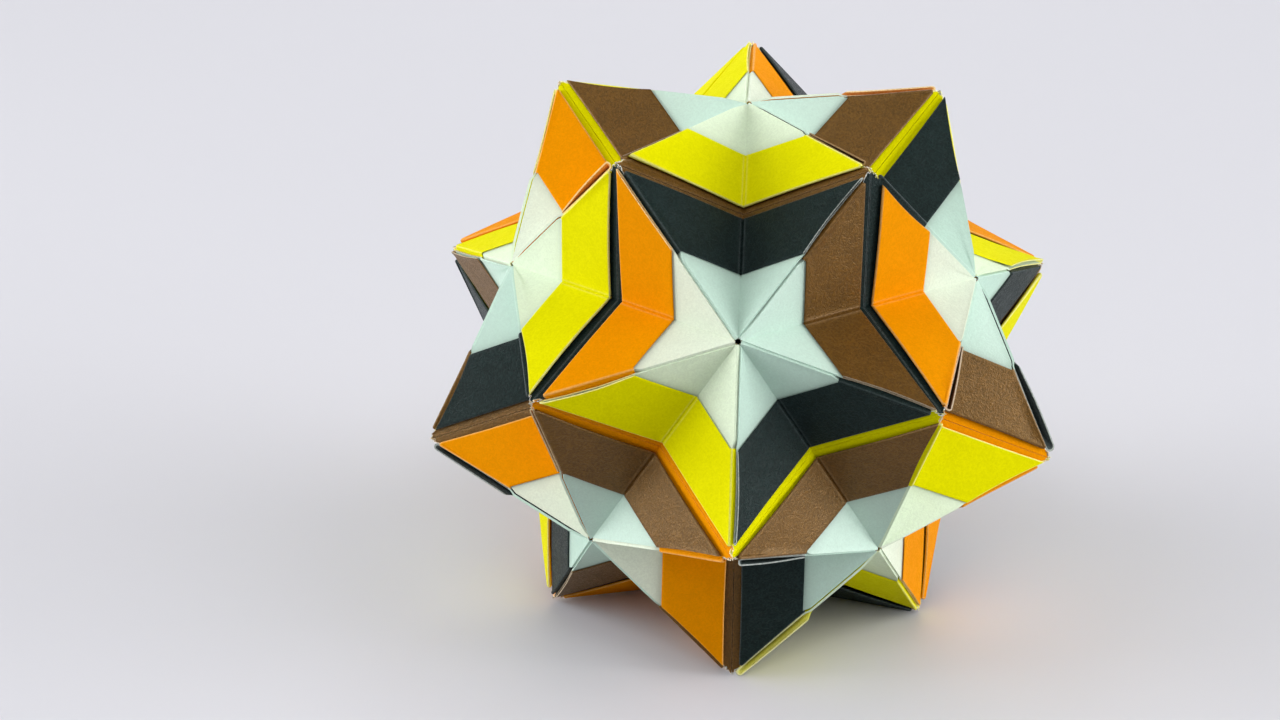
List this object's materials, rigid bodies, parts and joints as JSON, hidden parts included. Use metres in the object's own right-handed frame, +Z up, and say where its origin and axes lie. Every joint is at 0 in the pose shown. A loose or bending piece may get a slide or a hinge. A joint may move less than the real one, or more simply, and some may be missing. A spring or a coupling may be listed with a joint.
{
  "type": "modular origami star",
  "caption": "Spiked paper ball of interlocking folded square sheets in brown, black, orange and yellow, with shallow star-shaped hollows; decorative, stands or hangs free.",
  "frame": {"origin": "on the table, under the middle of the star's box", "axes": "+Z up as the star rests; -Y towards the side seen in the picture, +X to its right"},
  "size_m": [0.0836, 0.0876, 0.0722],
  "materials": {
    "brown_paper": "matte paper with a faint pearly sheen, brown on one side and cool white on the other",
    "black_paper": "matte paper, blue black on one side and cool white on the other",
    "orange_paper": "matte paper, orange on one side and warm white on the other",
    "yellow_paper": "matte paper, lemon yellow on one side and warm white on the other"
  },
  "bodies": {
    "root": {"black_unit_1": "black_paper", "black_unit_2": "black_paper", "black_unit_3": "black_paper", "black_unit_4": "black_paper", "black_unit_5": "black_paper", "black_unit_6": "black_paper", "black_unit_7": "black_paper", "brown_unit_1": "brown_paper", "brown_unit_2": "brown_paper", "brown_unit_3": "brown_paper", "brown_unit_4": "brown_paper", "brown_unit_5": "brown_paper", "brown_unit_6": "brown_paper", "brown_unit_7": "brown_paper", "orange_unit_1": "orange_paper", "orange_unit_2": "orange_paper", "orange_unit_3": "orange_paper", "orange_unit_4": "orange_paper", "orange_unit_5": "orange_paper", "orange_unit_6": "orange_paper", "orange_unit_7": "orange_paper", "orange_unit_8": "orange_paper", "yellow_unit_1": "yellow_paper", "yellow_unit_2": "yellow_paper", "yellow_unit_3": "yellow_paper", "yellow_unit_4": "yellow_paper", "yellow_unit_5": "yellow_paper", "yellow_unit_6": "yellow_paper", "yellow_unit_7": "yellow_paper", "yellow_unit_8": "yellow_paper"}
  },
  "joints": []
}
